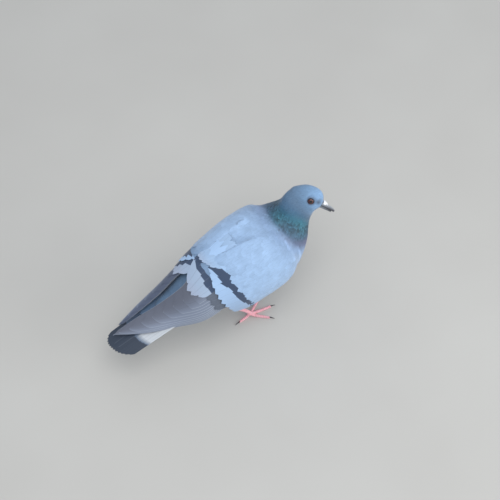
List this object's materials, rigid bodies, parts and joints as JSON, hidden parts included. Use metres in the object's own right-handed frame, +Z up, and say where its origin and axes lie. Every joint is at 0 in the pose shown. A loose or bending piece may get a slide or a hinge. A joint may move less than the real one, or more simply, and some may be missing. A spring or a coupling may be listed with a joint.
{
  "type": "pigeon",
  "caption": "Standing rock pigeon of the blue-barred form, a life-size still model with folded wings, closed tail and its head turned and cocked to its right.",
  "frame": {"origin": "on the ground, under the middle of the whole bird's box", "axes": "+X is the way the trunk faces, from the tail to the breast; +Y is the bird's left; +Z is up"},
  "size_m": [0.2722, 0.0926, 0.1696],
  "materials": {
    "head_feathers": "short matt feathers",
    "neck_feathers": "glossy feathers, green and purple",
    "body_feathers": "matt feathers",
    "wing_coverts": "matt feathers, two dark bars",
    "flight_feathers": "smooth feather vanes",
    "tail_feathers": "smooth feather vanes, dark band at the end",
    "bill_horn": "smooth horn",
    "cere_skin": "chalky soft skin",
    "eye": "wet, orange-red iris",
    "leg_skin": "scaly skin",
    "claw_horn": "smooth horn"
  },
  "bodies": {
    "root": {"head": "head_feathers", "neck": "neck_feathers", "trunk": "body_feathers", "rump": "body_feathers", "thigh_right": "body_feathers", "thigh_left": "body_feathers", "wing_right_coverts": "wing_coverts", "wing_left_coverts": "wing_coverts", "wing_right_secondaries": "flight_feathers", "wing_left_secondaries": "flight_feathers", "wing_right_primaries": "flight_feathers", "wing_left_primaries": "flight_feathers", "tail": "tail_feathers", "bill_upper": "bill_horn", "bill_lower": "bill_horn", "cere": "cere_skin", "eye_right": "eye", "eye_left": "eye", "shank_right": "leg_skin", "shank_left": "leg_skin", "toe_right_inner": "leg_skin", "toe_right_middle": "leg_skin", "toe_right_outer": "leg_skin", "toe_right_hind": "leg_skin", "toe_left_inner": "leg_skin", "toe_left_middle": "leg_skin", "toe_left_outer": "leg_skin", "toe_left_hind": "leg_skin", "claw_right_inner": "claw_horn", "claw_right_middle": "claw_horn", "claw_right_outer": "claw_horn", "claw_right_hind": "claw_horn", "claw_left_inner": "claw_horn", "claw_left_middle": "claw_horn", "claw_left_outer": "claw_horn", "claw_left_hind": "claw_horn"}
  },
  "joints": []
}
